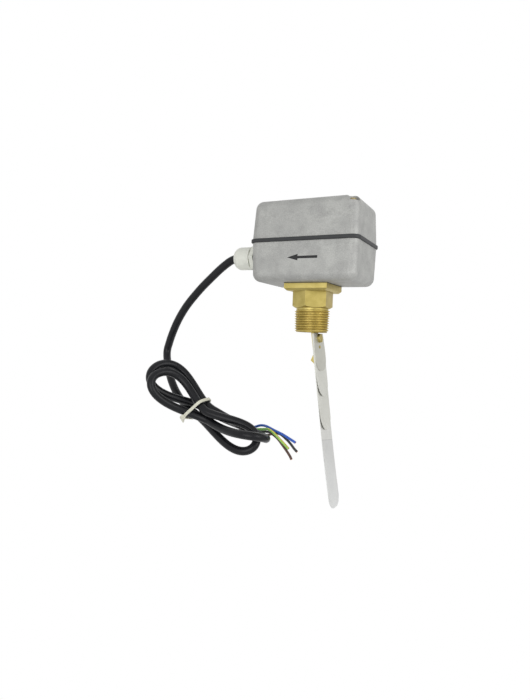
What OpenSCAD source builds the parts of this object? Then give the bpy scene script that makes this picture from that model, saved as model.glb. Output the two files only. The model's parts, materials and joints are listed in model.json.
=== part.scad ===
// Paddle flow switch: a cast box with a microswitch on a brass pipe body. The flow swings a leaf paddle.
// Millimetres. +Z runs from the pipe to the box, -Y is the front, and the flow runs towards -X.
// The origin is the centre of the pipe thread's gauge plane.

/* [Box] */
// Length of the box along the pipe
box_l = 105; // [98:1:130]
// Width of the box across the pipe
box_w = 68; // [64:1:90]
// Corner radius of the box seen from above
corner_r = 6.6; // [5.8:0.2:12]
// Radius of the rounded top and bottom edges
edge_r = 8; // [5:0.5:8]
// Wall of the castings
wall = 2.5; // [2:0.1:3.2]
// Height of the lower housing, from its bottom to its rim
lower_h = 36.6; // [35:0.2:44]
// Height of the upper cover, from its rim to its top
upper_h = 36.4; // [28:0.2:44]
// How far each wall of the lower housing leans in from rim to bottom
lower_lean = 0.5; // [0.2:0.1:1]
// How far each wall of the upper cover leans in from rim to top
upper_lean = 1.2; // [0.2:0.1:2]

/* [Cover gasket and screws] */
// Thickness of the gasket between the halves
gasket_t = 3.7; // [2:0.1:5]
// How far the gasket stands proud of the box
gasket_proud = 1.5; // [0.5:0.1:3]
// Width of the gasket's ring inside the box's outline
gasket_ledge = 4.5; // [3:0.1:6]
// Diameter of the cover screws
cover_screw_d = 4; // [3:0.1:5]
// Diameter of the posts that the cover screws run through
post_d = 9.6; // [8.6:0.2:11]
// Distance of a cover screw from the two sides of its corner
post_inset = 9; // [8:0.2:12]
// Gap beside a cover screw's head in its recess
head_gap = 1; // [0.3:0.1:2]
// Depth of the recess over a cover screw
recess_depth = 3.4; // [2:0.2:6]

/* [Brass body] */
// Thread diameter at the gauge plane
thread_d = 33.25; // [33:0.05:34]
// Distance from one thread crest to the next
thread_pitch = 2.309; // [2:0.05:2.6]
// Depth of the thread
thread_depth = 1.479; // [1:0.05:1.6]
// Number of thread crests
thread_rings = 9; // [7:2:11]
// Height of the plain neck above the thread
neck_h = 2.4; // [2:0.2:8]
// Hexagon across its flats
hex_af = 34; // [33.4:0.2:36]
// Height of the hexagon
hex_h = 15.6; // [13:0.2:20]
// Side of the square flange
flange_w = 43; // [42:0.5:50]
// Thickness of the flange
flange_t = 7; // [5:0.2:9]
// Chamfer along the flange's lower edge
flange_chamfer = 2.2; // [0.5:0.1:2.5]
// Diameter of the water bore
bore_d = 25; // [24:0.2:27]
// Diameter of the seat above it, which takes the pivot ring
seat_d = 29; // [28.6:0.1:30]
// Thickness of the seal between flange and box
flange_seal_t = 0.5; // [0.3:0.1:1.5]
// Distance between the flange screws, along both sides
flange_screw_pitch = 32; // [31:0.2:34]
// Diameter of the flange screws
flange_screw_d = 4; // [3:0.1:5]

/* [Lever] */
// Height of the pivot above the gauge plane
pivot_z = 24; // [22:0.5:26]
// Lean of the paddle against the flow at rest, in degrees
rest_tilt = 8.4; // [4:0.2:10]
// Swing of the paddle from rest to its stop, in degrees
swing = 9; // [5:0.5:10]
// Diameter of the pivot pin
pin_d = 4; // [3:0.1:5]
// Diameter of the lever's boss on the pin
boss_d = 11; // [9:0.2:12]
// Thickness of the brass arm
arm_t = 3.2; // [2.4:0.2:8]
// Width of the brass arm
arm_w = 11; // [8:0.2:13]
// Length of the arm below the pivot
arm_l = 66.5; // [55:0.5:70]
// Diameter of the lever's shaft in the bellows
shaft_d = 5; // [4:0.1:6]

/* [Paddle] */
// Thickness of one leaf
leaf_t = 0.5; // [0.3:0.05:0.8]
// Width of the leaves
leaf_w = 28; // [24:0.5:30]
// Width of the leaves at their top
leaf_top_w = 24; // [18:0.5:24]
// Distance of the leaves' top below the pivot
leaf_drop = 36; // [36:0.5:42]
// Length of the short leaf
short_l = 36; // [32:0.5:40]
// Length of the medium leaf
medium_l = 60; // [50:0.5:70]
// Length of the large leaf
large_l = 92; // [80:0.5:110]
// Length of the long leaf
long_l = 166; // [120:1:200]
// Radius of the long leaf's corners
tip_r = 11; // [3:0.5:12]
// Diameter of the leaf screws
leaf_screw_d = 3; // [2.5:0.1:4]

/* [Switch works] */
// Height of the spring and its screw above the pivot
spring_rise = 44; // [42:0.2:46]
// Thickness of the bracket's sheet
sheet_t = 1.5; // [1:0.1:2]
// Diameter of the range screw
range_screw_d = 4; // [3:0.1:5]
// Wire of the range spring
spring_wire = 1.1; // [0.8:0.1:1.4]
// Outer diameter of the range spring
spring_d = 9.5; // [8:0.1:11]
// Curls of the range spring
spring_curls = 6; // [4:1:8]
// Microswitch body: length along Z
micro_l = 27.8; // [24:0.2:28.4]
// Microswitch body: height along X
micro_h = 15.9; // [14:0.1:17]
// Microswitch body: thickness along Y
micro_w = 10.3; // [8:0.1:11]
// Length of the microswitch lever, from hinge to tip
blade_l = 22; // [20:0.5:23]

/* [Cable gland] */
// Distance of the gland's axis from the box's front wall
gland_inset = 19; // [18.6:0.2:24]
// Depth of the gland's axis below the lower housing's rim
gland_drop = 12; // [11.8:0.1:14]
// Gland nut and collar across their flats
gland_af = 21.8; // [20:0.2:22]
// Thickness of the gland's collar
collar_t = 4.4; // [4:0.2:8]
// Length of the gland's nut
nut_l = 19; // [18:0.5:26]
// Diameter of the gland's threads
gland_thread_d = 17.8; // [16:0.1:18.2]

/* [Cable] */
// Diameter of the cable
cable_d = 8.2; // [7.4:0.1:8.4]
// Diameter of one core
core_d = 2.5; // [2:0.1:3]
// Width of the cable tie
tie_w = 2.8; // [2:0.1:4]
// Thickness of the cable tie
tie_t = 1.2; // [0.8:0.1:1.6]

/* [Hidden] */
$fn = 64;

// Overrun of a cut, clearance between pieces that move apart, and clearance of pieces fitted together
over = 1;
clear = 0.3;
snug = 0.05;
// Share of a taper thread's length by which its diameter grows
taper_share = 1 / 16;

// Heights
thread_half = thread_rings * thread_pitch / 2;
hex_z = thread_half + neck_h;
flange_z = hex_z + hex_h;
flange_top = flange_z + flange_t;
box_z = flange_top + flange_seal_t;
floor_z = box_z + wall;
rim_z = box_z + lower_h;
cover_z = rim_z + gasket_t;
top_z = cover_z + upper_h;

// Shell of a casting: upright at its rim, leaning in and rounded at its closed end
ball_sides = 32;
module casting(l, w, r, e, lean, h) {
  hull() {
    for (sx = [-1, 1], sy = [-1, 1]) {
      translate([sx * (l / 2 - r), sy * (w / 2 - r), 0])
        cylinder(r = r, h = e / 16, $fn = ball_sides);
      translate([sx * (l / 2 - lean - e), sy * (w / 2 - lean - e), h - e])
        sphere(r = e / cos(180 / ball_sides), $fn = ball_sides);
    }
  }
}

// Flat outline with round corners
module rounded(l, w, r) {
  square([l - 2 * r, w], center = true);
  square([l, w - 2 * r], center = true);
  for (sx = [-1, 1], sy = [-1, 1])
    translate([sx * (l / 2 - r), sy * (w / 2 - r)])
      circle(r = r);
}

// Places of the two cover screws, at opposite corners
post_x = box_l / 2 - post_inset;
post_y = box_w / 2 - post_inset;
cover_screw_head_d = 1.85 * cover_screw_d;
cover_screw_head_h = 0.65 * cover_screw_d;
post_hole_d = cover_screw_d - 2 * snug * cover_screw_d;
recess_z = top_z - recess_depth;
recess_floor_z = recess_z - cover_screw_head_h;
recess_w = cover_screw_head_d + 2 * head_gap;
module at_posts(z) {
  for (s = [-1, 1])
    translate([s * post_x, -s * post_y, z])
      children();
}

// Recess over each cover screw: a slot that runs out through the box's corner
module recesses(w, z) {
  for (s = [-1, 1])
    translate([s * post_x, -s * post_y, z])
      rotate([0, 0, s > 0 ? -45 : 135]) {
        cylinder(d = w, h = top_z + over - z);
        translate([0, -w / 2, 0])
          cube([2 * post_inset, w, top_z + over - z]);
      }
}

// Gland hole in the left wall
gland_y = box_w / 2 - gland_inset;
gland_z = rim_z - gland_drop;
pad_x = -box_l / 2 - 0.16 * wall;
pad_d = gland_af + 2 * clear;
pad_t = 1.5 * wall;
module along_gland(x) {
  translate([x, -gland_y, gland_z])
    rotate([0, -90, 0])
      children();
}
module gland_hole() {
  along_gland(-box_l / 2 + 3 * wall)
    cylinder(d = gland_thread_d + 2 * clear, h = 4 * wall);
}

// Arrow that shows the flow, cut into the front wall
arrow_x = 1;
arrow_rise = 21.5;
arrow_l = 29.8;
arrow_head_l = 10.5;
arrow_head_w = 6;
arrow_shaft_w = 2.4;
arrow_depth = 0.4;
module arrow_outline() {
  polygon([[-arrow_l / 2, 0], [-arrow_l / 2 + arrow_head_l, arrow_head_w / 2],
    [-arrow_l / 2 + arrow_head_l, arrow_shaft_w / 2], [arrow_l / 2, arrow_shaft_w / 2],
    [arrow_l / 2, -arrow_shaft_w / 2], [-arrow_l / 2 + arrow_head_l, -arrow_shaft_w / 2],
    [-arrow_l / 2 + arrow_head_l, -arrow_head_w / 2]]);
}
// The front wall's lean, from its rim to where the bottom edge starts to round
front_lean = atan(lower_lean / (lower_h - edge_r));
module on_front(depth) {
  translate([arrow_x, -box_w / 2 + (lower_h - arrow_rise) * tan(front_lean) + depth, box_z + arrow_rise])
    rotate([90 - front_lean, 0, 0])
      children();
}

module lower_housing() {
  color([0.66, 0.67, 0.66])
    difference() {
      union() {
        difference() {
          translate([0, 0, rim_z])
            mirror([0, 0, 1])
              casting(box_l, box_w, corner_r, edge_r, lower_lean, lower_h);
          translate([0, 0, rim_z + over])
            mirror([0, 0, 1])
              casting(box_l - 2 * wall, box_w - 2 * wall, corner_r - wall, edge_r - wall,
                lower_lean, lower_h + over - wall);
        }
        at_posts(floor_z - wall / 2)
          cylinder(d = post_d, h = rim_z - floor_z + wall / 2);
        along_gland(pad_x + pad_t)
          cylinder(d = pad_d, h = pad_t);
      }
      gland_hole();
      at_posts(floor_z)
        cylinder(d = post_hole_d, h = rim_z - floor_z + over);
      translate([0, 0, box_z - over])
        cylinder(d = floor_hole_d, h = wall + 2 * over);
      at_flange_screws(box_z - over)
        cylinder(d = flange_screw_d + clear, h = wall + 2 * over);
      on_front(arrow_depth)
        linear_extrude(arrow_depth + over)
          arrow_outline();
      translate([earth_x, -earth_y, box_z + wall / 3])
        cylinder(d = earth_hole_d, h = wall + over);
    }
}

module upper_cover() {
  color([0.68, 0.69, 0.68])
    difference() {
      union() {
        difference() {
          translate([0, 0, cover_z])
            casting(box_l, box_w, corner_r, edge_r, upper_lean, upper_h);
          translate([0, 0, cover_z - over])
            casting(box_l - 2 * wall, box_w - 2 * wall, corner_r - wall, edge_r - wall,
              upper_lean, upper_h + over - wall);
        }
        intersection() {
          union() {
            at_posts(cover_z)
              cylinder(d = post_d, h = upper_h);
            recesses(recess_w + 2 * wall, recess_floor_z - wall);
          }
          translate([0, 0, cover_z])
            casting(box_l, box_w, corner_r, edge_r, upper_lean, upper_h);
        }
      }
      at_posts(cover_z - over)
        cylinder(d = cover_screw_d + clear, h = upper_h + 2 * over);
      recesses(recess_w, recess_floor_z);
    }
}

module cover_gasket() {
  color([0.12, 0.12, 0.12])
    translate([0, 0, rim_z])
      linear_extrude(gasket_t)
        difference() {
          rounded(box_l + 2 * gasket_proud, box_w + 2 * gasket_proud, corner_r + gasket_proud);
          rounded(box_l - 2 * gasket_ledge, box_w - 2 * gasket_ledge, corner_r / 3);
          for (s = [-1, 1])
            translate([s * post_x, -s * post_y])
              circle(d = cover_screw_d + 2 * clear);
        }
}

// Pan-head screw that points down, its head's underside at z = 0
module slotted_screw(d, l, head_d, head_h) {
  difference() {
    union() {
      cylinder(d = head_d, h = head_h);
      translate([0, 0, -l])
        cylinder(d = d - 2 * snug * d, h = l);
    }
    translate([-head_d, -head_h / 6, head_h / 2])
      cube([2 * head_d, head_h / 3, head_h]);
  }
}

module cover_screws() {
  color([0.75, 0.76, 0.78])
    at_posts(recess_floor_z)
      slotted_screw(cover_screw_d - 2 * snug, recess_floor_z - rim_z + lower_h / 3,
        cover_screw_head_d, cover_screw_head_h);
}

module flow_arrow() {
  color([0.08, 0.08, 0.09])
    on_front(arrow_depth)
      linear_extrude(arrow_depth / 2)
        arrow_outline();
}

// Brass body: crests of the tapered thread as rings, plain neck, hexagon and square flange
thread_r = thread_d / 2;
crest_flat = thread_pitch / 6;
function crest_r(z) = thread_r + z * taper_share / 2;
function ring_points(i) = let (z = (i - (thread_rings - 1) / 2) * thread_pitch)
  [[crest_r(z) - thread_depth, z - thread_pitch / 2 + crest_flat / 2], [crest_r(z), z - crest_flat / 2],
   [crest_r(z), z + crest_flat / 2], [crest_r(z) - thread_depth, z + thread_pitch / 2 - crest_flat / 2]];
module at_flange_screws(z) {
  for (sx = [-1, 1], sy = [-1, 1])
    translate([sx * flange_screw_pitch / 2, sy * flange_screw_pitch / 2, z])
      children();
}
module flange_profile() {
  polygon([[-flange_w / 2, flange_t], [-flange_w / 2, flange_chamfer], [-flange_w / 2 + flange_chamfer, 0],
    [flange_w / 2 - flange_chamfer, 0], [flange_w / 2, flange_chamfer], [flange_w / 2, flange_t]]);
}
step_z = hex_z + flange_chamfer / 4;
thread_bottom_r = crest_r(-thread_half) - thread_depth;
thread_top_r = crest_r(thread_half) - thread_depth;
module brass_body() {
  color([0.78, 0.66, 0.30])
    difference() {
      union() {
        rotate_extrude()
          polygon(concat([[0, -thread_half], [thread_bottom_r, -thread_half]],
            [for (i = [0:thread_rings - 1]) each ring_points(i)],
            [[thread_top_r, thread_half], [thread_top_r, step_z], [0, step_z]]));
        translate([0, 0, hex_z])
          intersection() {
            rotate([0, 0, 30])
              cylinder(d = hex_af / cos(30), h = hex_h + flange_t / 2, $fn = 6);
            cylinder(r1 = thread_r, r2 = thread_r + 2 * hex_h, h = hex_h + flange_t / 2);
          }
        translate([0, 0, flange_z])
          intersection() {
            rotate([90, 0, 0])
              linear_extrude(flange_w, center = true)
                flange_profile();
            rotate([90, 0, 90])
              linear_extrude(flange_w, center = true)
                flange_profile();
          }
      }
      translate([0, 0, -thread_half - over])
        cylinder(d = bore_d, h = flange_top + thread_half + 2 * over);
      translate([0, 0, step_z])
        cylinder(d = seat_d, h = flange_top - step_z + over);
      at_flange_screws(flange_top - flange_hole_l)
        cylinder(d = flange_screw_d, h = flange_hole_l + over);
    }
}
flange_hole_l = 0.75 * flange_t;

module flange_seal() {
  color([0.15, 0.15, 0.15])
    translate([0, 0, flange_top])
      linear_extrude(flange_seal_t)
        difference() {
          square(flange_w, center = true);
          circle(d = seat_d + 2 * snug);
          for (sx = [-1, 1], sy = [-1, 1])
            translate([sx * flange_screw_pitch / 2, sy * flange_screw_pitch / 2])
              circle(d = flange_screw_d + clear);
        }
}

flange_screw_head_d = 1.8 * flange_screw_d;
module flange_screws() {
  color([0.75, 0.76, 0.78])
    at_flange_screws(floor_z + sheet_t)
      slotted_screw(flange_screw_d - 2 * snug, sheet_t + wall + flange_seal_t + 0.9 * flange_hole_l,
        flange_screw_head_d, flange_screw_head_d / 3);
}

// Pivot ring, pin and the collar of the bellows, dropped into the brass body from above
collar_plate_t = 2.4;
ring_top = flange_top - collar_plate_t;
ring_bore_d = 0.84 * bore_d;
module across_pin(l) {
  translate([0, l / 2, pivot_z])
    rotate([90, 0, 0])
      children();
}
module pivot_ring() {
  color([0.80, 0.68, 0.34])
    difference() {
      translate([0, 0, step_z])
        cylinder(d = seat_d - 4 * snug, h = ring_top - step_z);
      translate([0, 0, step_z - over])
        cylinder(d = ring_bore_d, h = ring_top - step_z + 2 * over);
      across_pin(seat_d + over)
        cylinder(d = pin_d + 2 * snug, h = seat_d + over);
    }
}
module pivot_pin() {
  color([0.72, 0.72, 0.74])
    across_pin(seat_d - 12 * snug)
      cylinder(d = pin_d, h = seat_d - 12 * snug);
}

// The lever and all that swings on it is drawn upright about the pivot, then leaned to its rest
module leaned() {
  translate([0, 0, pivot_z])
    rotate([0, -rest_tilt, 0])
      children();
}
bellows_d = 15.5;
bellows_neck_d = 11;
bellows_ribs = 7;
bellows_pitch = 2.2;
bellows_wall = 0.5;
cap_t = 1.6;
bellows_top = flange_top - pivot_z + bellows_ribs * bellows_pitch + bellows_pitch;
collar_hole_d = bellows_neck_d + bellows_wall;
module bellows_collar() {
  color([0.80, 0.68, 0.34])
    translate([0, 0, ring_top])
      difference() {
        cylinder(d = seat_d - 4 * snug, h = collar_plate_t);
        translate([collar_shift, 0, -over])
          cylinder(d = collar_hole_d, h = collar_plate_t + 2 * over);
      }
}
collar_shift = -(flange_top - pivot_z) * tan(rest_tilt) / 2;
module bellows() {
  color([0.82, 0.70, 0.42])
    difference() {
      leaned()
        rotate_extrude()
          polygon(concat(
            [for (i = [0:2 * bellows_ribs])
              [(i % 2 == 0 ? bellows_neck_d : bellows_d) / 2, bellows_top - i * bellows_pitch / 2]],
            [[bellows_neck_d / 2, 0], [bellows_neck_d / 2 - bellows_wall, 0]],
            [for (i = [2 * bellows_ribs:-1:0])
              [(i % 2 == 0 ? bellows_neck_d : bellows_d) / 2 - bellows_wall,
               bellows_top - i * bellows_pitch / 2]]));
      translate([-seat_d, -seat_d, -thread_half])
        cube([2 * seat_d, 2 * seat_d, flange_top + thread_half]);
    }
}

// Brass lever: round boss on the pin, flat arm down to the leaves, shaft up through the bellows
yoke_h = 10;
yoke_rise = spring_rise - yoke_h / 2;
yoke_seat_d = 1.4 * shaft_d;
thread_shaft_d = 0.8 * shaft_d;
lever_nut_h = 0.8 * thread_shaft_d;
wedge_l = 11;
wedge_depth = 3.3;
module lever_arm() {
  color([0.80, 0.68, 0.34])
    leaned()
      difference() {
        union() {
          rotate([90, 0, 0])
            linear_extrude(arm_w, center = true) {
              circle(d = boss_d);
              polygon([[-boss_d / 2, 0], [boss_d / 2, 0], [0, -boss_d], [0, -arm_l],
                [-arm_t / 2, -arm_l], [-arm_t - wedge_depth, -arm_l + wedge_l / 2],
                [-arm_t, -arm_l + wedge_l], [-arm_t, -boss_d]]);
            }
          cylinder(d = shaft_d, h = yoke_rise);
          translate([0, 0, bellows_top])
            cylinder(d = bellows_neck_d, h = cap_t);
          translate([0, 0, bellows_top + cap_t])
            cylinder(d = yoke_seat_d, h = yoke_rise - bellows_top - cap_t);
          cylinder(d = thread_shaft_d, h = yoke_rise + sheet_t + 1.4 * lever_nut_h);
        }
        rotate([90, 0, 0])
          cylinder(d = pin_d + 2 * snug, h = arm_w + over, center = true);
        leaf_holes(arm_t + wedge_depth);
      }
}

// Leaves: they lie against the arm's flat face, the long one next to the arm
screw_edge = 4.6;
screw_drop = leaf_drop + screw_edge;
rivet_pitch = 8.4;
rivet_drop = screw_drop + rivet_pitch;
module leaf_holes(depth) {
  for (z = [screw_drop, rivet_drop])
    translate([-depth, 0, -z])
      rotate([0, 90, 0])
        cylinder(d = z == screw_drop ? leaf_screw_d : leaf_screw_d / 2, h = depth + 4 * leaf_t + over);
}
shoulder_l = 18;
module leaf(i, l, r) {
  color([0.78, 0.78, 0.74])
    leaned()
      difference() {
        translate([i * leaf_t, 0, -leaf_drop])
          rotate([0, 90, 0])
            linear_extrude(leaf_t) {
              polygon([[0, -leaf_top_w / 2], [shoulder_l, -leaf_w / 2], [l - r, -leaf_w / 2],
                [l - r, leaf_w / 2], [shoulder_l, leaf_w / 2], [0, leaf_top_w / 2]]);
              translate([l - r, -leaf_w / 2 + r])
                square([r, leaf_w - 2 * r + (leaf_w == 2 * r ? snug : 0)]);
              for (s = [-1, 1])
                translate([l - r, s * (leaf_w / 2 - r)])
                  circle(r = r);
            }
        leaf_holes(arm_t);
      }
}
round_share = 0.44;
module leaf_long() { leaf(0, long_l, tip_r); }
module leaf_large() { leaf(1, large_l, round_share * leaf_w); }
module leaf_medium() { leaf(2, medium_l, round_share * leaf_w); }
module leaf_short() { leaf(3, short_l, round_share * leaf_w); }

leaf_head_d = 2.8 * leaf_screw_d;
module leaf_screw() {
  color([0.82, 0.70, 0.36])
    leaned()
      translate([4 * leaf_t, 0, -screw_drop])
        rotate([0, 90, 0])
          slotted_screw(leaf_screw_d - 2 * snug, arm_t + 4 * leaf_t, leaf_head_d, leaf_head_d / 3.5);
}
module leaf_rivet() {
  color([0.82, 0.70, 0.36])
    leaned()
      translate([0, 0, -rivet_drop])
        rotate([0, 90, 0]) {
          translate([0, 0, -arm_t])
            cylinder(d = leaf_screw_d / 2 - 2 * snug, h = arm_t + 4 * leaf_t);
          translate([0, 0, 4 * leaf_t])
            cylinder(d = leaf_screw_d, h = leaf_t);
        }
}

// The bracket's wall clears the flange screws, and the microswitch lies against it
wall_gap = 0.9;
wall_y = flange_screw_pitch / 2 + flange_screw_head_d / 2 + wall_gap;
// Mid-plane and width of the microswitch's lever
blade_y = wall_y - micro_w / 2;
blade_w = 4;

// Yoke: a bent plate on the lever's top, which the spring pushes and which works the microswitch
yoke_face = 6.5;
module lever_yoke() {
  color([0.72, 0.73, 0.75])
    leaned()
      difference() {
        union() {
          translate([-yoke_seat_d / 2, -spring_d / 2, yoke_rise])
            cube([yoke_seat_d / 2 + yoke_face, spring_d, sheet_t]);
          translate([yoke_face - sheet_t, -spring_d / 2, yoke_rise])
            cube([sheet_t, spring_d / 2 + blade_y + blade_w, yoke_h]);
        }
        translate([0, 0, yoke_rise - over])
          cylinder(d = thread_shaft_d + 2 * snug, h = sheet_t + 2 * over);
      }
}
module lever_nut() {
  color([0.75, 0.76, 0.78])
    leaned()
      translate([0, 0, yoke_rise + sheet_t])
        difference() {
          cylinder(d = 1.9 * thread_shaft_d, h = lever_nut_h, $fn = 6);
          translate([0, 0, -over])
            cylinder(d = thread_shaft_d + 2 * snug, h = lever_nut_h + 2 * over);
        }
}

// Bracket on the box's floor: base, side wall for the microswitch, end tab for the range screw
base_x = -flange_w / 2;
base_y = -flange_screw_pitch / 2 - flange_screw_head_d / 2;
tab_x = 34;
bend_r = 1.5 * sheet_t;
bend_y = wall_y + sheet_t - bend_r;
tab_w = 16;
wall_x = -8;
spring_z = pivot_z + spring_rise;
tab_top = spring_z + tab_w / 2;
floor_hole_d = 1.55 * bellows_d;
module bracket() {
  color([0.74, 0.75, 0.77])
    difference() {
      union() {
        translate([base_x, base_y, floor_z])
          cube([tab_x - base_x, bend_y - base_y, sheet_t]);
        translate([wall_x, bend_y, floor_z + bend_r])
          rotate([90, 0, 90])
            linear_extrude(tab_x - wall_x)
              intersection() {
                difference() {
                  circle(r = bend_r);
                  circle(r = bend_r - sheet_t);
                }
                translate([0, -bend_r])
                  square(bend_r);
              }
        translate([wall_x, wall_y, floor_z + bend_r])
          cube([tab_x - wall_x, sheet_t, bracket_top - floor_z - bend_r]);
        translate([tab_x - sheet_t, -tab_w / 2, floor_z])
          cube([sheet_t, tab_w, tab_top - floor_z]);
      }
      translate([0, 0, floor_z - over])
        cylinder(d = floor_hole_d, h = sheet_t + 2 * over);
      at_flange_screws(floor_z - over)
        cylinder(d = flange_screw_d + clear, h = sheet_t + 2 * over);
      along_spring(tab_x - 2 * sheet_t)
        cylinder(d = range_screw_d + 2 * snug, h = 3 * sheet_t);
      at_micro_screws(wall_y - over)
        cylinder(d = micro_screw_d + 2 * snug, h = sheet_t + 2 * over);
    }
}
module along_spring(x) {
  translate([x, 0, spring_z])
    rotate([0, 90, 0])
      children();
}

// Range screw, its collar inside the tab, the nut that it draws along, and the spring
screw_tip_x = 11;
range_head_d = 1.9 * range_screw_d;
range_head_h = 0.6 * range_screw_d;
module range_screw() {
  color([0.80, 0.68, 0.34])
    difference() {
      union() {
        along_spring(screw_tip_x)
          cylinder(d = range_screw_d, h = tab_x + clear - screw_tip_x);
        along_spring(tab_x + clear)
          cylinder(d = range_head_d, h = range_head_h);
      }
      translate([tab_x + clear + range_head_h / 2, -range_head_d, spring_z - range_head_h / 6])
        cube([range_head_h, 2 * range_head_d, range_head_h / 3]);
    }
}
screw_collar_l = 2.5;
module screw_collar() {
  color([0.72, 0.73, 0.75])
    along_spring(tab_x - sheet_t - clear - screw_collar_l)
      difference() {
        cylinder(d = range_head_d, h = screw_collar_l);
        translate([0, 0, -over])
          cylinder(d = range_screw_d + snug, h = screw_collar_l + 2 * over);
      }
}
nut_x = 22;
spring_nut_l = 4;
module spring_nut() {
  color([0.80, 0.68, 0.34])
    along_spring(nut_x)
      difference() {
        translate([-spring_d / 2, -spring_d / 2, 0])
          cube([spring_d, spring_d, spring_nut_l]);
        translate([0, 0, -over])
          cylinder(d = range_screw_d + 2 * snug, h = spring_nut_l + 2 * over);
      }
}

// A tube through points: rings stand square to the run, their first corner carried along without a twist
function unit(v) = v / norm(v);
function run_way(p, i) = unit(p[min(i + 1, len(p) - 1)] - p[max(i - 1, 0)]);
function square_to(v, w) = unit(w - (w * v) * v);
function frames(p, start) = [for (i = 0, u = square_to(run_way(p, 0), start); i < len(p);
  i = i + 1, u = i < len(p) ? square_to(run_way(p, i), u) : u) u];
module tube(p, d, sides, start = [0, 1, 0]) {
  f = frames(p, start);
  n = len(p);
  points = [for (i = [0:n - 1], k = [0:sides - 1])
    p[i] + d / 2 * (cos(360 * k / sides) * f[i] + sin(360 * k / sides) * cross(run_way(p, i), f[i]))];
  faces = concat([[for (k = [0:sides - 1]) k]],
    [for (i = [0:n - 2], k = [0:sides - 1])
      let (a = i * sides + k, b = i * sides + (k + 1) % sides) [a, a + sides, b]],
    [for (i = [0:n - 2], k = [0:sides - 1])
      let (a = i * sides + k, b = i * sides + (k + 1) % sides) [b, a + sides, b + sides]],
    [[for (k = [sides - 1:-1:0]) (n - 1) * sides + k]]);
  polyhedron(points, faces);
}
// Smooth curve through hand-chosen points, with steps between each two
function bend(a, b, c, d, t) = 0.5 * (2 * b + (c - a) * t + (2 * a - 5 * b + 4 * c - d) * t * t
  + (3 * b - a - 3 * c + d) * t * t * t);
function smooth(p, steps) = concat([for (i = [0:len(p) - 2], k = [0:steps - 1])
  bend(p[max(i - 1, 0)], p[i], p[i + 1], p[min(i + 2, len(p) - 1)], k / steps)], [p[len(p) - 1]]);

// Range spring between yoke and nut
spring_r = (spring_d - spring_wire) / 2;
spring_from = yoke_face * cos(rest_tilt) - spring_rise * sin(rest_tilt)
  + spring_d / 2 * tan(rest_tilt) + spring_wire / 2 + clear;
spring_to = nut_x - spring_wire / 2 - clear;
curl_steps = 8;
module range_spring() {
  n = spring_curls * curl_steps;
  color([0.55, 0.56, 0.58])
    tube([for (i = [0:n]) [spring_from + (spring_to - spring_from) * i / n,
      spring_r * cos(360 * i / curl_steps), spring_z + spring_r * sin(360 * i / curl_steps)]],
      spring_wire, 6, [1, 0, 0]);
}

// Microswitch on the bracket's side wall, with its lever and its button
blade_t = 0.5;
tip_roll_r = 1.2;
blade_lean = asin((spring_rise * (sin(rest_tilt) + sin(swing - rest_tilt))) / blade_l);
hinge_x = yoke_face + spring_rise * sin(swing - rest_tilt) + tip_roll_r + clear;
hinge_z = spring_z + blade_l;
hinge_r = 0.9;
micro_x = hinge_x + hinge_r + blade_t;
micro_z = hinge_z + 2.5 * hinge_r - micro_l;
bracket_top = micro_z + micro_l + sheet_t;
micro_screw_d = 3;
micro_pitch = 0.8 * micro_l;
module at_micro_screws(y) {
  for (s = [-1, 1])
    translate([micro_x + 0.65 * micro_h, y, micro_z + micro_l / 2 + s * micro_pitch / 2])
      rotate([-90, 0, 0])
        children();
}
button_d = 2.6;
button_drop = 5;
button_travel = button_drop * tan(blade_lean);
button_tip_x = hinge_x - (button_drop - button_d / 2) * tan(blade_lean)
  + blade_t / cos(blade_lean) / 2 + clear;
ear_t = 1;
module micro_body() {
  color([0.12, 0.12, 0.13])
    difference() {
      union() {
        translate([micro_x, blade_y - micro_w / 2, micro_z])
          cube([micro_h, micro_w, micro_l]);
        for (s = [-1, 1])
          translate([hinge_x - hinge_r - ear_t, blade_y + s * (blade_w / 2 + clear + ear_t / 2) - ear_t / 2,
            hinge_z - 2 * hinge_r])
            cube([micro_x - hinge_x + hinge_r + ear_t, ear_t, 4 * hinge_r]);
      }
      at_micro_screws(blade_y - micro_w)
        cylinder(d = micro_screw_d + 2 * snug, h = 2 * micro_w);
      translate([micro_x - over, blade_y, hinge_z - button_drop])
        rotate([0, 90, 0])
          cylinder(d = button_d + 2 * snug, h = micro_h / 2 + over);
      translate([hinge_x, blade_y + blade_w, hinge_z])
        rotate([90, 0, 0])
          cylinder(r = hinge_r / 2 + snug, h = 2 * blade_w);
    }
}
module micro_button() {
  color([0.75, 0.15, 0.12])
    translate([button_tip_x, blade_y, hinge_z - button_drop])
      rotate([0, 90, 0])
        cylinder(d = button_d, h = micro_x + micro_h / 4 - button_tip_x);
}
module micro_blade() {
  color([0.78, 0.78, 0.80])
    translate([hinge_x, blade_y, hinge_z])
      rotate([0, blade_lean, 0]) {
        rotate([90, 0, 0])
          cylinder(r = hinge_r, h = blade_w, center = true);
        rotate([90, 0, 0])
          cylinder(r = hinge_r / 2, h = blade_w + 2 * clear + 2 * ear_t, center = true);
        translate([-blade_t / 2, -blade_w / 2, -blade_l])
          cube([blade_t, blade_w, blade_l]);
        translate([0, 0, -blade_l])
          rotate([90, 0, 0])
            cylinder(r = tip_roll_r, h = blade_w, center = true);
      }
}
spade_l = 6.4;
spade_w = 4.8;
spade_t = 0.8;
function spade_z(i) = micro_z + micro_l * (0.3 + 0.2 * i);
module micro_terminals() {
  color([0.80, 0.78, 0.70])
    for (i = [0:2])
      translate([micro_x + micro_h, blade_y - spade_w / 2, spade_z(i)])
        cube([spade_l, spade_w, spade_t]);
}
module micro_screws() {
  color([0.75, 0.76, 0.78])
    at_micro_screws(blade_y - micro_w / 2)
      mirror([0, 0, 1])
        slotted_screw(micro_screw_d - 2 * snug, micro_w + sheet_t + micro_screw_d,
          1.8 * micro_screw_d, 0.6 * micro_screw_d);
}
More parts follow.
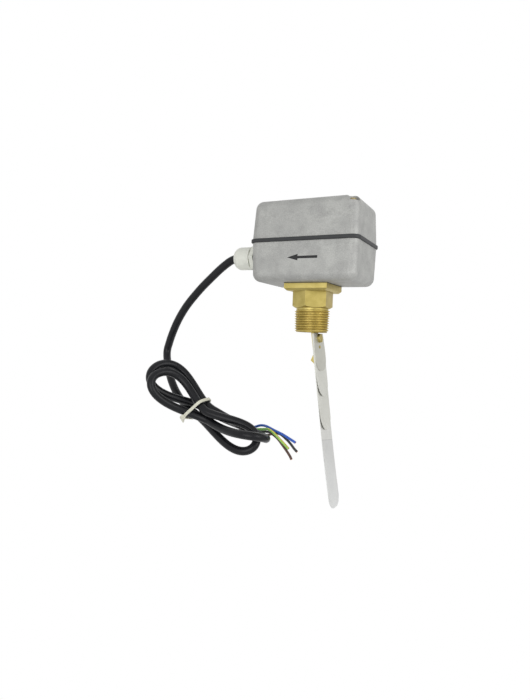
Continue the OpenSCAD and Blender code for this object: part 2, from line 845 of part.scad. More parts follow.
module micro_nuts() {
  color([0.75, 0.76, 0.78])
    at_micro_screws(wall_y + sheet_t)
      difference() {
        cylinder(d = 2 * micro_screw_d, h = 0.8 * micro_screw_d, $fn = 6);
        translate([0, 0, -over])
          cylinder(d = micro_screw_d + 2 * snug, h = micro_screw_d + 2 * over);
      }
}

// Cable gland, from the washer on the wall outwards
washer_t = 1;
collar_x = pad_x - washer_t;
nut_gap = 0.9;
nut_rear = collar_x - collar_t - nut_gap;
nut_end = nut_rear - nut_l;
stem_l = 0.6 * nut_l;
cable_hole_d = cable_d + 2 * clear;
module gland_washer() {
  color([0.15, 0.15, 0.15])
    along_gland(pad_x)
      difference() {
        cylinder(d = gland_af - wall / 2, h = washer_t);
        translate([0, 0, -over])
          cylinder(d = gland_thread_d + clear, h = washer_t + 2 * over);
      }
}
inner_stem_l = 4.4 * wall;
module gland_body() {
  color([0.87, 0.87, 0.84])
    difference() {
      union() {
        along_gland(collar_x)
          rotate([0, 0, 30])
            cylinder(d = gland_af / cos(30), h = collar_t, $fn = 6);
        along_gland(collar_x + inner_stem_l)
          cylinder(d = gland_thread_d, h = inner_stem_l + collar_t + stem_l);
      }
      along_gland(collar_x + inner_stem_l + over)
        cylinder(d = gland_bore_d, h = inner_stem_l + collar_t + stem_l + 2 * over);
    }
}
gland_bore_d = 0.72 * gland_thread_d;
seal_l = 0.3 * nut_l;
module gland_seal() {
  color([0.15, 0.15, 0.15])
    along_gland(collar_x - collar_t - stem_l)
      difference() {
        cylinder(d = gland_bore_d, h = seal_l);
        translate([0, 0, -over])
          cylinder(d = cable_d + snug, h = seal_l + 2 * over);
      }
}
locknut_x = pad_x + pad_t;
locknut_h = 5;
module gland_locknut() {
  color([0.87, 0.87, 0.84])
    along_gland(locknut_x + locknut_h)
      difference() {
        rotate([0, 0, 30])
          cylinder(d = gland_af / cos(30), h = locknut_h, $fn = 6);
        translate([0, 0, -over])
          cylinder(d = gland_thread_d + 2 * snug, h = locknut_h + 2 * over);
      }
}
// Dome nut: a ribbed round shell, its end drawn in to the cable
dome_r = gland_af / 3;
nut_r = gland_af / 2 + clear;
module gland_nut() {
  color([0.87, 0.87, 0.84])
    along_gland(nut_rear)
      difference() {
        rotate_extrude()
          polygon(concat([[0, 0], [nut_r, 0]],
            [for (a = [0:15:90]) [nut_r - dome_r + dome_r * cos(a), nut_l - dome_r + dome_r * sin(a)]],
            [[0, nut_l]]));
        translate([0, 0, -over])
          cylinder(d = gland_thread_d + 2 * snug, h = stem_l + over);
        cylinder(d = gland_bore_d + 2 * snug, h = stem_l + seal_l + clear);
        cylinder(d = cable_hole_d, h = nut_l + over);
      }
}

// Cable through the gland, and its four cores inside the box
sheath_end_x = collar_x + inner_stem_l + core_d / 2;
module inner_cable() {
  color([0.18, 0.19, 0.20])
    along_gland(sheath_end_x)
      cylinder(d = cable_d, h = sheath_end_x - nut_end);
}
core_off = 0.7 * core_d;
block_gap = 1.8;
block_x = locknut_x + locknut_h + block_gap;
block_y = 0;
block_l = base_x - block_gap - block_x;
block_w = 12;
block_h = 11;
earth_hole_d = 4;
earth_edge = 9.5;
earth_x = base_x - 2.2 * earth_hole_d;
earth_y = box_w / 2 - wall - earth_edge;
tag_t = 0.8;
entry_z = floor_z + block_h / 3;
function pole_x(i) = block_x + block_l * (i + 0.5) / 3;
function sheath_point(dx, sy, sz) = [sheath_end_x + dx, -gland_y + sy * core_off, gland_z + sz * core_off];
// A wire's line: straight at both ends, so that it meets squarely what it leaves and what it enters
function led(from, through, to) = concat([from], smooth(through, 3), [to]);
// A core from the sheath's end to one pole of the terminal block
module core_to_pole(i, sy, sz) {
  tube(led(sheath_point(0, sy, sz), [sheath_point(core_d / 2, sy, sz),
    sheath_point(2 * core_d, 1.2 * sy, 1.2 * sz),
    [pole_x(i) + core_d, -gland_y + 2 * core_d + core_d * sy / 2, gland_z - 3 * core_d + core_d * sz],
    [pole_x(i), block_y - 2.5 * core_d, entry_z + 1.5 * core_d],
    [pole_x(i), block_y - core_d, entry_z]], [pole_x(i), block_y, entry_z]), core_d, 8, [0, 0, 1]);
}
module wire_blue() {
  color([0.15, 0.30, 0.70])
    core_to_pole(0, 1, -1);
}
module wire_black() {
  color([0.13, 0.13, 0.14])
    core_to_pole(1, 1, 1);
}
module wire_brown() {
  color([0.33, 0.22, 0.18])
    core_to_pole(2, -1, 1);
}
module wire_green_yellow() {
  color([0.60, 0.78, 0.25])
    tube(led(sheath_point(0, -1, -1), [sheath_point(core_d / 2, -1, -1), sheath_point(core_d, -1, -1.2),
      sheath_point(2 * core_d, -2, -3 * core_d / core_off),
      [earth_x, -earth_y + 3.5 * core_d, floor_z + 3 * core_d],
      [earth_x, -earth_y + 3 * core_d, floor_z + tag_t + core_d]],
      [earth_x, -earth_y + 3 * core_d, floor_z + tag_t]), core_d, 8, [0, 0, 1]);
}
module terminal_block() {
  color([0.85, 0.85, 0.82])
    difference() {
      translate([block_x, block_y, floor_z])
        cube([block_l, block_w, block_h]);
      for (i = [0:2])
        translate([pole_x(i), block_y + block_w / 2, floor_z + block_h / 2])
          cylinder(d = terminal_head_d + 2 * snug, h = block_h);
    }
}
terminal_head_d = 0.2 * block_l;
module terminal_screws() {
  color([0.80, 0.78, 0.70])
    for (i = [0:2])
      translate([pole_x(i), block_y + block_w / 2, floor_z + block_h / 2])
        difference() {
          cylinder(d = terminal_head_d, h = block_h / 3);
          translate([-terminal_head_d, -terminal_head_d / 10, block_h / 4])
            cube([2 * terminal_head_d, terminal_head_d / 5, block_h]);
        }
}
// Three wires from the block, along the bracket's back and up round its end to the microswitch's tabs
wire_d = 0.6 * core_d;
wires_y = (wall_y + sheet_t + box_w / 2 - wall) / 2;
leave_y = block_y + block_w + core_d;
spade_end = micro_x + micro_h + spade_l;
function leave_z(i) = entry_z + 1.2 * core_d * (3 - i);
function turn_x(i) = spade_end + (box_l / 2 - gasket_ledge - spade_end) * (i + 1) / 4;
module switch_wires() {
  color([0.70, 0.20, 0.16])
    for (i = [0:2]) {
      tab_z = spade_z(i) + spade_t / 2;
      tube(led([pole_x(i), block_y + block_w, entry_z], [
        [pole_x(i), block_y + block_w + core_d / 2, entry_z],
        [pole_x(i) + core_d / 2, leave_y, entry_z + core_d / 2], [pole_x(i) + core_d, leave_y, leave_z(i)],
        [wall_x - 2 * core_d, (leave_y + wires_y) / 2, leave_z(i)],
        [wall_x + core_d, wires_y, leave_z(i)], [tab_x - core_d, wires_y, leave_z(i)],
        [tab_x + core_d, wall_y + sheet_t / 2, leave_z(i) + core_d / 2],
        [turn_x(i), blade_y, (leave_z(i) + tab_z) / 2], [turn_x(i), blade_y, tab_z - core_d],
        [spade_end + core_d / 2, blade_y, tab_z]], [spade_end, blade_y, tab_z]), wire_d, 8, [0, 0, 1]);
    }
}
module earth_screw() {
  color([0.75, 0.76, 0.78])
    translate([earth_x, -earth_y, floor_z + tag_t])
      slotted_screw(earth_hole_d - 2 * snug, tag_t + wall / 2, 1.8 * earth_hole_d, 0.6 * earth_hole_d);
}
module earth_tag() {
  color([0.80, 0.78, 0.70])
    translate([earth_x, -earth_y, floor_z])
      difference() {
        union() {
          cylinder(d = 2 * earth_hole_d, h = tag_t);
          translate([-core_d / 2, 0, 0])
            cube([core_d, 4 * core_d, tag_t]);
        }
        translate([0, 0, -over])
          cylinder(d = earth_hole_d + 2 * snug, h = tag_t + 2 * over);
      }
}

// Free cable: from the gland's end to the top of the hank, points chosen by hand
cable_route = [[-78.2, -15, 60.49], [-79.6, -15, 60.49], [-83.6, -15, 59.2], [-88.8, -15, 56.2],
  [-96.5, -15, 50.7], [-105.5, -15, 43.2], [-116.5, -15, 33.6], [-126, -14.5, 24.6],
  [-135.5, -14, 14.6], [-143.8, -13, 4.2], [-150.2, -12, -5.5], [-154.9, -11, -14],
  [-158.9, -9.7, -21.6], [-162.2, -8.3, -28.5], [-163.7, -7.8, -32], [-164.4, -7.8, -35.5],
  [-164, -8.5, -39.2], [-162.6, -10, -42.8]];
// The lead follows the gland's end: how far that is from where the points were chosen
lead_shift = [nut_end, -gland_y, gland_z] - cable_route[0];
// A cord's line: its first leg is straight, so that it leaves squarely
function leaving(p, steps) = concat([p[0]], smooth([for (i = [1:len(p) - 1]) p[i]], steps));
module cable() {
  color([0.18, 0.19, 0.20])
    translate(lead_shift)
      tube(leaving(cable_route, 2), cable_d, 12, [0, 0, 1]);
}

// Hank: the cable runs between six ends, each with its reach along the hank, its place across it,
// its eye's half width, its place towards the front and its eye's lean in degrees
hank_place = [-100.6, -38, -90.9];
hank_turn = 24.6;
hank_end = [[-76.4, 17.9, 0, -28, 0], [67.7, -1.1, 25.7, -3.4, -31.1], [-45.3, 15.7, 34.3, 27, -55.4],
  [74.7, 11.6, 36.3, -1.6, -106.5], [-54.8, 19.1, 38.1, 18.2, -53.2], [46.8, 2.1, 0, -26, 0]];
// Where each run lies in the waist: across the hank and towards the front
hank_waist = [[-8.5, -6], [5.4, 7.6], [-4, 1.6], [7.1, -1.3], [1, -7.1]];
hank_runs = len(hank_waist);
hank_steps = 12;
function run_middle(k) = (hank_end[k][0] + hank_end[k + 1][0]) / 2;
function run_half(k) = (hank_end[k][0] - hank_end[k + 1][0]) / 2;
function hank_local(k, a) = let (e = cos(a) > 0 ? hank_end[k] : hank_end[k + 1],
    side = k % 2 == 0 ? -1 : 1, eye = side * e[2] * sin(a) * pow(abs(cos(a)), 1.5))
  [run_middle(k) + run_half(k) * cos(a),
   e[1] * cos(a) ^ 2 + hank_waist[k][0] * sin(a) ^ 2 + eye * cos(e[4]),
   e[3] * cos(a) ^ 2 + hank_waist[k][1] * sin(a) ^ 2 + eye * sin(e[4])];
function hank_world(q) = hank_place + [q[0] * cos(hank_turn) + q[1] * sin(hank_turn), -q[2],
  -q[0] * sin(hank_turn) + q[1] * cos(hank_turn)];
hank_route = concat([for (k = [0:hank_runs - 1], i = [0:hank_steps - 1])
  hank_world(hank_local(k, 180 * i / hank_steps))], [hank_world(hank_local(hank_runs - 1, 180))]);
function gap_to_self(p, apart) = min([for (i = [0:len(p) - 1], j = [0:1:i - apart]) norm(p[i] - p[j])]);
echo(hank_gap = gap_to_self(hank_route, 5) - cable_d);
module cable_hank() {
  color([0.18, 0.19, 0.20])
    translate(lead_shift)
      tube(hank_route, cable_d, 6, [0, 1, 0]);
}

// Cable tie: a band round the five runs, leaned across the hank, with its head low at the front
tie_reach = -1.5;
tie_lean = 20;
tie_clear = 1.1;
tie_r = cable_d / 2 + tie_clear;
tie_head_turn = 40;
tie_head_l = 4.6;
tie_head_w = 1.5 * tie_w;
tie_head_h = 3.4;
tie_tail_l = 8;
// Place of run k in a plane beside the tie's, found by closing in on the angle at which the run meets it
function past_tie(k, a, beside) = let (q = hank_local(k, a))
  (q[0] - tie_reach - beside / cos(tie_lean) - q[1] * tan(tie_lean)) * sign(run_half(k));
function tie_angle(k, beside, low, high, n) = let (a = (low + high) / 2) n == 0 ? a
  : past_tie(k, a, beside) > 0 ? tie_angle(k, beside, a, high, n - 1)
  : tie_angle(k, beside, low, a, n - 1);
function in_tie(k, beside) = let (q = hank_local(k, tie_angle(k, beside, 45, 135, 12)))
  [-q[2], q[1] * cos(tie_lean) + (q[0] - tie_reach) * sin(tie_lean)];
module tie_outline(r) {
  hull()
    for (k = [0:hank_runs - 1], beside = [-tie_w, tie_w])
      translate(in_tie(k, beside / 2))
        circle(r = r, $fn = 32);
}
module cable_tie() {
  head_at = in_tie(2, 0);
  color([0.84, 0.84, 0.78])
    translate(lead_shift + hank_place)
      rotate([0, hank_turn, 0])
        translate([tie_reach, 0, 0])
          rotate([0, tie_lean, 0]) {
            translate([-tie_w / 2, 0, 0])
              rotate([90, 0, 90])
                linear_extrude(tie_w)
                  difference() {
                    tie_outline(tie_r + tie_t);
                    tie_outline(tie_r);
                  }
            translate([0, head_at[0], head_at[1]])
              rotate([tie_head_turn, 0, 0]) {
                translate([-tie_head_w / 2, -tie_r - 1.6 * tie_t - tie_head_h, -tie_head_l / 2])
                  cube([tie_head_w, tie_head_h, tie_head_l]);
                translate([-tie_w / 2, -tie_r - tie_t - tie_head_h / 2, -tie_head_l / 2 - tie_tail_l])
                  cube([tie_w, tie_t, tie_tail_l + tie_head_l / 2]);
              }
          }
}

// Bare ends of the four cores, fanned out from the sheath's end, points chosen by hand
module free_core(points) {
  translate(lead_shift)
    tube(leaving(points, 2), core_d, 8, [0, 0, 1]);
}
module core_blue() {
  color([0.15, 0.30, 0.70])
    free_core([[-56.72, -11.64, -106.78], [-55.53, -10.7, -107.26], [-52.3, -9.6, -106.6],
      [-46.5, -10.3, -104.5], [-41, -11.5, -104], [-35.5, -14, -104.6],
      [-26.5, -17.5, -106.6], [-17, -21, -108.6], [-8.3, -23.5, -111.5], [-1.7, -25, -114]]);
}
module core_black() {
  color([0.13, 0.13, 0.14])
    free_core([[-58.26, -10.58, -108.48], [-57.06, -9.63, -108.97], [-53.5, -8, -109.9],
      [-47, -7.8, -110.5], [-38, -10, -110], [-29.5, -13, -109.7],
      [-21.6, -16.5, -109.5], [-15.3, -19, -112], [-9.2, -21, -115.7], [-3.9, -22.5, -120.3],
      [-0.5, -23, -122.9]]);
}
module core_brown() {
  color([0.33, 0.22, 0.18])
    free_core([[-57.58, -12.32, -110.19], [-56.38, -11.38, -110.67], [-53.2, -10.7, -112],
      [-47.5, -11.3, -113.2], [-40, -12.5, -113], [-34, -14.5, -111.8],
      [-30, -16.5, -110.5], [-23.3, -17.8, -114], [-17.6, -18.6, -119.4], [-12.9, -19.8, -123.7],
      [-8.6, -21, -128.1], [-6.5, -21.5, -131.2]]);
}
module core_green_yellow() {
  color([0.60, 0.78, 0.25])
    free_core([[-56.04, -13.39, -108.48], [-54.85, -12.44, -108.97], [-51.2, -12.6, -108.7],
      [-45, -13.5, -107.7], [-39, -15, -106.8], [-34, -17.5, -106],
      [-27.8, -20, -107.9], [-22, -21, -111.7], [-16.4, -21.5, -116], [-9.7, -22, -121.4]]);
}

lower_housing();
upper_cover();
cover_gasket();
cover_screws();
flow_arrow();
brass_body();
flange_seal();
flange_screws();
pivot_ring();
pivot_pin();
bellows_collar();
bellows();
lever_arm();
leaf_short();
leaf_medium();
leaf_large();
leaf_long();
leaf_screw();
leaf_rivet();
lever_yoke();
lever_nut();
bracket();
range_screw();
screw_collar();
spring_nut();
range_spring();
micro_body();
micro_terminals();
micro_screws();
micro_nuts();
micro_button();
micro_blade();
gland_body();
gland_washer();
gland_locknut();
gland_seal();
gland_nut();
inner_cable();
wire_blue();
wire_black();
wire_brown();
wire_green_yellow();
terminal_block();
terminal_screws();
switch_wires();
earth_screw();
earth_tag();
cable();
cable_hank();
cable_tie();
core_blue();
core_black();
core_brown();
core_green_yellow();
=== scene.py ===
"""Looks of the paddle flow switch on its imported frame: metres, with the CAD's own axes and origin."""
import json
import math
import bpy
import bmesh
from mathutils import Matrix, Vector


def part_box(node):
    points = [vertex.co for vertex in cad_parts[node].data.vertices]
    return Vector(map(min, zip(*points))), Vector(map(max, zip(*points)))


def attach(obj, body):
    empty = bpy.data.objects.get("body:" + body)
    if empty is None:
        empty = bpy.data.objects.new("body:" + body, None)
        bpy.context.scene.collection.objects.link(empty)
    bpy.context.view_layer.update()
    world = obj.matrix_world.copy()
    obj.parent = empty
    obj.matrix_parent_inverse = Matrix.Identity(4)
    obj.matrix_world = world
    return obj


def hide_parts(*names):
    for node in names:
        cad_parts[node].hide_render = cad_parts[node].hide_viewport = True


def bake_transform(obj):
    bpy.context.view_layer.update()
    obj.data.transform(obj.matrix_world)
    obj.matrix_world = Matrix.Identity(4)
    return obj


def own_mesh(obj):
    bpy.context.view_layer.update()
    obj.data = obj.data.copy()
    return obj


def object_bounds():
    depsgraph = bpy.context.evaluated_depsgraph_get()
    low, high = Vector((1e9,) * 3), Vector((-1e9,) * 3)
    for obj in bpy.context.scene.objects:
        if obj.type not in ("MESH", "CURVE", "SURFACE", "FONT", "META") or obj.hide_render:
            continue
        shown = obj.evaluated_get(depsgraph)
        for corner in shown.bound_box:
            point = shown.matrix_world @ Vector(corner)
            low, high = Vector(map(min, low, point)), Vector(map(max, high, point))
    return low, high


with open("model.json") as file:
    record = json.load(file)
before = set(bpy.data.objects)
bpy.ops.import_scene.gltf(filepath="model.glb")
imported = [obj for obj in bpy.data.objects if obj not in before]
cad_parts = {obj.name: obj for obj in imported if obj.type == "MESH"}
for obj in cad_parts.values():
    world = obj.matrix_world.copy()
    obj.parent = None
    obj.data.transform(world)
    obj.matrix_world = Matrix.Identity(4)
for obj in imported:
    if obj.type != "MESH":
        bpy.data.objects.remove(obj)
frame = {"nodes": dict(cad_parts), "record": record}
cad_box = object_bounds()
MM = 0.001
BODY_OF = {node: body for body, nodes in frame["record"]["behaviour"]["bodies"].items() for node in nodes}
SLOT_OF = {part["node"]: part["material_slot"] for part in frame["record"]["subparts"]}


def mm(*values):
    """A point or vector given in millimetres."""
    return Vector(values) * MM


# Camera: it stands in front of the switch, a little low, turned towards its upstream end and rolled
CAMERA_PLACE = mm(194, -493, -18.5)
CAMERA_TURN = math.radians(26.28)
CAMERA_PITCH = math.radians(-1.16)
CAMERA_ROLL = math.radians(2.24)
LENS = 28
SENSOR = 36


def place_camera():
    flat = Vector((-math.sin(CAMERA_TURN), math.cos(CAMERA_TURN), 0))
    ahead = flat * math.cos(CAMERA_PITCH) + Vector((0, 0, math.sin(CAMERA_PITCH)))
    right = Vector((math.cos(CAMERA_TURN), math.sin(CAMERA_TURN), 0))
    up = right.cross(ahead)
    rolled_right = right * math.cos(CAMERA_ROLL) + up * math.sin(CAMERA_ROLL)
    rolled_up = up * math.cos(CAMERA_ROLL) - right * math.sin(CAMERA_ROLL)
    turn = Matrix((rolled_right, rolled_up, -ahead)).transposed().to_4x4()
    data = bpy.data.cameras.new("camera")
    data.lens = LENS
    data.sensor_width = SENSOR
    camera = bpy.data.objects.new("camera", data)
    bpy.context.scene.collection.objects.link(camera)
    camera.matrix_world = Matrix.Translation(CAMERA_PLACE) @ turn
    bpy.context.scene.camera = camera


place_camera()

# Cords. The free cable's points and the hank's values are those of part.scad, in millimetres
CABLE_D = 8.2
CABLE_STEPS = 6
CABLE_SIDES = 32
CORE_D = 2.5
CORE_STEPS = 5
CORE_SIDES = 16
CABLE_ROUTE = [
    (-78.2, -15, 60.49), (-79.6, -15, 60.49), (-83.6, -15, 59.2), (-88.8, -15, 56.2), (-96.5, -15, 50.7),
    (-105.5, -15, 43.2), (-116.5, -15, 33.6), (-126, -14.5, 24.6), (-135.5, -14, 14.6), (-143.8, -13, 4.2),
    (-150.2, -12, -5.5), (-154.9, -11, -14), (-158.9, -9.7, -21.6), (-162.2, -8.3, -28.5),
    (-163.7, -7.8, -32), (-164.4, -7.8, -35.5), (-164, -8.5, -39.2), (-162.6, -10, -42.8)]
HANK_PLACE = Vector((-100.6, -38, -90.9))
HANK_TURN = math.radians(24.6)
# Where the runs end: along the hank, across it, the eye's width, towards the front, the eye's lean in degrees
HANK_END = [
    (-76.4, 17.9, 0, -28, 0), (67.7, -1.1, 25.7, -3.4, -31.1), (-45.3, 15.7, 34.3, 27, -55.4),
    (74.7, 11.6, 36.3, -1.6, -106.5), (-54.8, 19.1, 38.1, 18.2, -53.2), (46.8, 2.1, 0, -26, 0)]
# Each run's middle: across the hank and towards the front
HANK_WAIST = [(-8.5, -6), (5.4, 7.6), (-4, 1.6), (7.1, -1.3), (1, -7.1)]
HANK_STEPS = 24
EYE_POWER = 1.5
# The free cable takes the place of the hank's first few points
HANK_SKIP = 3
CORE_ROUTES = {
    "blue": [
        (-56.72, -11.64, -106.78), (-55.53, -10.7, -107.26), (-52.3, -9.6, -106.6), (-46.5, -10.3, -104.5),
        (-41, -11.5, -104), (-35.5, -14, -104.6), (-26.5, -17.5, -106.6), (-17, -21, -108.6),
        (-8.3, -23.5, -111.5), (-1.7, -25, -114)],
    "black": [
        (-58.26, -10.58, -108.48), (-57.06, -9.63, -108.97), (-53.5, -8, -109.9), (-47, -7.8, -110.5),
        (-38, -10, -110), (-29.5, -13, -109.7), (-21.6, -16.5, -109.5), (-15.3, -19, -112),
        (-9.2, -21, -115.7), (-3.9, -22.5, -120.3), (-0.5, -23, -122.9)],
    "brown": [
        (-57.58, -12.32, -110.19), (-56.38, -11.38, -110.67), (-53.2, -10.7, -112), (-47.5, -11.3, -113.2),
        (-40, -12.5, -113), (-34, -14.5, -111.8), (-30, -16.5, -110.5), (-23.3, -17.8, -114),
        (-17.6, -18.6, -119.4), (-12.9, -19.8, -123.7), (-8.6, -21, -128.1), (-6.5, -21.5, -131.2)],
    "green_yellow": [
        (-56.04, -13.39, -108.48), (-54.85, -12.44, -108.97), (-51.2, -12.6, -108.7), (-45, -13.5, -107.7),
        (-39, -15, -106.8), (-34, -17.5, -106), (-27.8, -20, -107.9), (-22, -21, -111.7),
        (-16.4, -21.5, -116), (-9.7, -22, -121.4)]}


def hank_local(run, angle):
    """A point of a run: along the hank, across it and towards the front."""
    start, stop = HANK_END[run], HANK_END[run + 1]
    near = start if math.cos(angle) > 0 else stop
    side = -1 if run % 2 == 0 else 1
    eye = side * near[2] * math.sin(angle) * abs(math.cos(angle)) ** EYE_POWER
    end_part, waist_part = math.cos(angle) ** 2, math.sin(angle) ** 2
    lean = math.radians(near[4])
    return (
        (start[0] + stop[0]) / 2 + (start[0] - stop[0]) / 2 * math.cos(angle),
        near[1] * end_part + HANK_WAIST[run][0] * waist_part + eye * math.cos(lean),
        near[3] * end_part + HANK_WAIST[run][1] * waist_part + eye * math.sin(lean))


def hank_world(along, across, front):
    turned_x = along * math.cos(HANK_TURN) + across * math.sin(HANK_TURN)
    turned_z = -along * math.sin(HANK_TURN) + across * math.cos(HANK_TURN)
    return HANK_PLACE + Vector((turned_x, -front, turned_z))


def smooth(points, steps):
    """A curve through all the points, as part.scad draws it."""
    points = [Vector(p) for p in points]
    last = len(points) - 1
    curve = []
    for i in range(last):
        a, b, c, d = points[max(i - 1, 0)], points[i], points[i + 1], points[min(i + 2, last)]
        for k in range(steps):
            t = k / steps
            curve.append(0.5 * (2 * b + (c - a) * t + (2 * a - 5 * b + 4 * c - d) * t ** 2
                                + (3 * b - a - 3 * c + d) * t ** 3))
    return curve + [points[last]]


def leaving(points, steps):
    """A cord's line: its first leg is straight, so that it leaves squarely."""
    return [Vector(points[0])] + smooth(points[1:], steps)


def link(name, data):
    piece = bpy.data.objects.new(name, data)
    bpy.context.scene.collection.objects.link(piece)
    return piece


def tube(name, points, diameter, sides):
    """A curve of round section along points in millimetres, whose points carry its radius."""
    data = bpy.data.curves.new(name, "CURVE")
    data.dimensions = "3D"
    data.bevel_depth = 1
    data.bevel_resolution = sides // 4
    data.use_fill_caps = True
    line = data.splines.new("POLY")
    line.points.add(len(points) - 1)
    for ring, p in zip(line.points, points):
        ring.co = (*(p * MM), 1)
        ring.radius = diameter / 2 * MM
    return link(name, data)


def metres_along(points):
    """Length in metres of a line through points in millimetres."""
    return sum((b - a).length for a, b in zip(points, points[1:])) * MM


def draw_cable():
    """One cable from the gland to its sheath's end: the free stretch runs into the hank's first run."""
    hank = [hank_world(*hank_local(k, math.pi * i / HANK_STEPS))
            for k in range(len(HANK_WAIST)) for i in range(HANK_STEPS)]
    last_run = len(HANK_WAIST) - 1
    hank.append(hank_world(*hank_local(last_run, math.pi)))
    points = leaving([Vector(p) for p in CABLE_ROUTE] + hank[HANK_SKIP:], CABLE_STEPS)
    piece = tube("cable_lead", points, CABLE_D, CABLE_SIDES)
    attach(piece, "root")
    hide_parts("cable", "cable_hank")
    return piece, metres_along(points)


def draw_cores():
    """The cores that come out of the sheath, by colour."""
    pieces = {}
    for colour, points in core_lines.items():
        piece = tube("lead_core_" + colour, points, CORE_D, CORE_SIDES)
        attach(piece, "root")
        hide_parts("core_" + colour)
        "core_" + colour
        pieces[colour] = piece
    return pieces


core_lines = {colour: leaving(route, CORE_STEPS) for colour, route in CORE_ROUTES.items()}
cable_piece, cable_length = draw_cable()
cores = draw_cores()


class Value:
    """A shader socket that Python arithmetic reads: each operator adds a Math node to the finish."""

    def __init__(self, finish, socket):
        self.finish = finish
        self.socket = socket

    def maths(self, operation, *others):
        return self.finish.node("Math", {"operation": operation}, *others)

    def __add__(self, other):
        return self.maths("ADD", self, other)

    def __radd__(self, other):
        return self.maths("ADD", other, self)

    def __sub__(self, other):
        return self.maths("SUBTRACT", self, other)

    def __rsub__(self, other):
        return self.maths("SUBTRACT", other, self)

    def __mul__(self, other):
        return self.maths("MULTIPLY", self, other)

    def __rmul__(self, other):
        return self.maths("MULTIPLY", other, self)

    def __abs__(self):
        return self.maths("ABSOLUTE", self)

    def above(self, edge):
        return self.maths("GREATER_THAN", self, edge)

    def below(self, edge):
        return self.maths("LESS_THAN", self, edge)

    def largest(self, other):
        return self.maths("MAXIMUM", self, other)


class Finish:
    """A material, or the world, that is drawn node by node."""

    def __init__(self, name, owner=None, **shader):
        self.material = owner or bpy.data.materials.new(name)
        self.material.use_nodes = True
        self.nodes = self.material.node_tree.nodes
        self.links = self.material.node_tree.links
        self.nodes.clear()
        self.output = self.nodes.new("ShaderNodeOutputWorld" if owner else "ShaderNodeOutputMaterial")
        if owner is None:
            self.shader = self.nodes.new("ShaderNodeBsdfPrincipled")
            self.show(Value(self, self.shader.outputs[0]))
            self.set(**shader)

    def show(self, surface):
        self.feed(self.output.inputs["Surface"], surface)

    def feed(self, place, value):
        if isinstance(value, Value):
            self.links.new(value.socket, place)
        elif hasattr(value, "__len__") and len(value) == 3 and place.type == "RGBA":
            place.default_value = (*value, 1)
        else:
            place.default_value = value

    def set(self, **shader):
        """Sets the shader's sockets: roughness=0.4 is its Roughness."""
        for name, value in shader.items():
            self.feed(self.shader.inputs[name.replace("_", " ").title().replace("Ior", "IOR")], value)

    def node(self, kind, settings, *places, output=0, **sockets):
        """A node with its settings, its first sockets in order, and others by their names."""
        node = self.nodes.new("ShaderNode" + kind)
        for name, value in settings.items():
            setattr(node, name, value)
        for place, value in zip(node.inputs, places):
            self.feed(place, value)
        for name, value in sockets.items():
            self.feed(node.inputs[name.replace("_", " ")], value)
        return Value(self, node.outputs[output])

    def place(self):
        return self.node("TexCoord", {}, output="Object")

    def facing(self, vector, way):
        """How far a vector reaches along a direction."""
        return self.node("VectorMath", {"operation": "DOT_PRODUCT"}, vector, way, output="Value")

    def along(self, way):
        """Distance in millimetres along a direction, from the origin."""
        return self.facing(self.place(), way) * (1 / MM)

    def noise(self, size, detail=3, stretch=None):
        """Noise with blotches about this many millimetres across, stretched by a scale for each axis."""
        at = self.place()
        if stretch:
            at = self.node("Mapping", {}, Vector=at, Scale=stretch)
        return self.node("TexNoise", {}, Vector=at, Scale=1 / (size * MM), Detail=detail)

    def ramp(self, value, *stops):
        """A number or a colour for each place of the value, between (place, result) stops."""
        node = self.nodes.new("ShaderNodeValToRGB")
        points = node.color_ramp.elements
        while len(points) < len(stops):
            points.new(0.5)
        for point, (place, result) in zip(points, stops):
            point.position = place
            point.color = (*(result if hasattr(result, "__len__") else (result,) * 3), 1)
        self.feed(node.inputs[0], value)
        return Value(self, node.outputs[0])

    def mix(self, share, first, second, blend="MIX"):
        node = self.nodes.new("ShaderNodeMix")
        node.data_type = "RGBA"
        node.blend_type = blend
        self.feed(node.inputs[0], share)
        self.feed(node.inputs[6], first)
        self.feed(node.inputs[7], second)
        return Value(self, node.outputs[2])

    def bump(self, height, depth, normal=None):
        """Raises the surface by height times depth millimetres."""
        sockets = {"Height": height, "Distance": depth * MM}
        if normal:
            sockets["Normal"] = normal
        return self.node("Bump", {}, **sockets)

    def speckle(self, colour, size, spread):
        """The colour, made unevenly lighter and darker by about this share."""
        shade = self.ramp(self.noise(size, 3), (0.3, 1 - spread), (0.7, 1 + spread))
        return self.mix(1.0, colour, shade, "MULTIPLY")


def dress(piece, finish):
    piece.data.materials.clear()
    piece.data.materials.append(finish.material)


def cast_aluminium():
    """Tumbled casting: cloudy grey with a fine sandy skin, a little wavy and dull."""
    f = Finish("cast_aluminium", metallic=0.4)
    cloud = f.ramp(f.noise(13, 4), (0.32, (0.368, 0.369, 0.357)), (0.68, (0.45, 0.453, 0.434)))
    smudges = f.ramp(f.noise(10, 4), (0.56, 1.0), (0.74, 0.86))
    skin = f.noise(0.8, 3)
    f.set(base_color=f.mix(1.0, f.mix(1.0, cloud, smudges, "MULTIPLY"),
                           f.ramp(skin, (0.3, 0.82), (0.7, 1.12)), "MULTIPLY"),
          roughness=0.46 + 0.2 * f.noise(4, 3))
    f.set(normal=f.bump(skin, 0.06, f.bump(f.noise(15, 2), 0.35)))
    return f


def cable_rubber():
    """Black sheath: a satin skin that is faintly cloudy and sandy."""
    f = Finish("cable_sheath", specular_ior_level=0.22)
    f.set(base_color=f.speckle((0.0085, 0.009, 0.011), 6, 0.2), roughness=0.24 + 0.1 * f.noise(2.5, 3))
    f.set(normal=f.bump(f.noise(0.5, 3), 0.01, f.bump(f.noise(9, 2), 0.1)))
    return f


